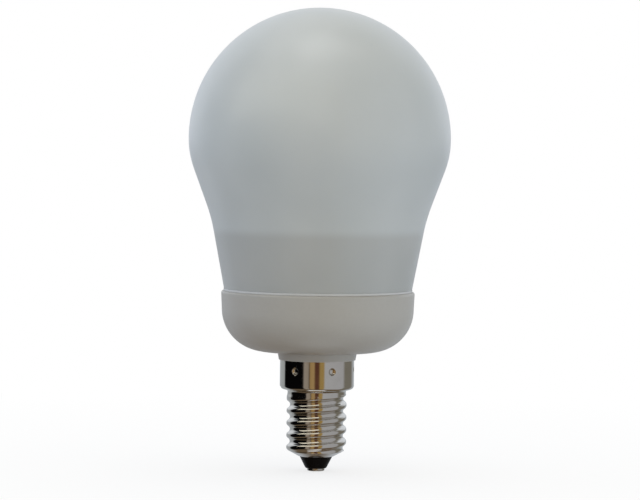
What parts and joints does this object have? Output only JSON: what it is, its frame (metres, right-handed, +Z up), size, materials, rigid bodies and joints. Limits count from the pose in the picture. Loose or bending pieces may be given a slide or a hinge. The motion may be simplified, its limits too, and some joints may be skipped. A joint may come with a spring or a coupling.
{
  "type": "compact fluorescent bulb",
  "caption": "Globe-covered compact fluorescent bulb: opal glass envelope over a bridged discharge tube, moulded ballast housing and a small rolled screw cap.",
  "frame": {"origin": "middle of the centre contact's face, at the lower end of the screw cap", "axes": "+Z runs up the bulb's axis to the crown of the globe, -Y faces the viewer of the picture, +X is to the viewer's right"},
  "size_m": [0.06, 0.06, 0.1061],
  "materials": {
    "opal_glass": "smooth opal",
    "housing_plastic": "satin moulding, slightly yellowed",
    "nickel_plate": "bright plate on rolled sheet",
    "black_insulator": "fused, glassy",
    "holder_plastic": "fine moulding",
    "silicone": "cured bead",
    "phosphor_glass": "coated inside",
    "tinned_wire": "drawn and tinned",
    "circuit_board": "paper laminate",
    "ferrite": "sintered",
    "bobbin_plastic": "moulded",
    "enamelled_copper": "enamelled",
    "can_sleeve": "shrunk sleeve",
    "dipped_epoxy": "dipped",
    "moulded_epoxy": "moulded",
    "resistor_lacquer": "lacquered",
    "wire_insulation": "extruded"
  },
  "bodies": {
    "root": {"globe_cover": "opal_glass", "housing": "housing_plastic", "screw_shell": "nickel_plate", "cap_insulator": "black_insulator", "centre_contact": "nickel_plate", "tube_holder": "holder_plastic", "globe_cement": "silicone", "discharge_tube": "phosphor_glass", "tube_cement": "silicone", "tube_leads": "tinned_wire", "ballast_board": "circuit_board", "choke_core": "ferrite", "choke_bobbin": "bobbin_plastic", "choke_winding": "enamelled_copper", "feedback_core": "ferrite", "feedback_windings": "enamelled_copper", "smoothing_capacitor": "can_sleeve", "film_capacitors": "dipped_epoxy", "switching_transistors": "moulded_epoxy", "rectifier_diodes": "moulded_epoxy", "fuse_resistor": "resistor_lacquer", "live_wire": "wire_insulation", "neutral_wire": "wire_insulation"}
  },
  "joints": []
}
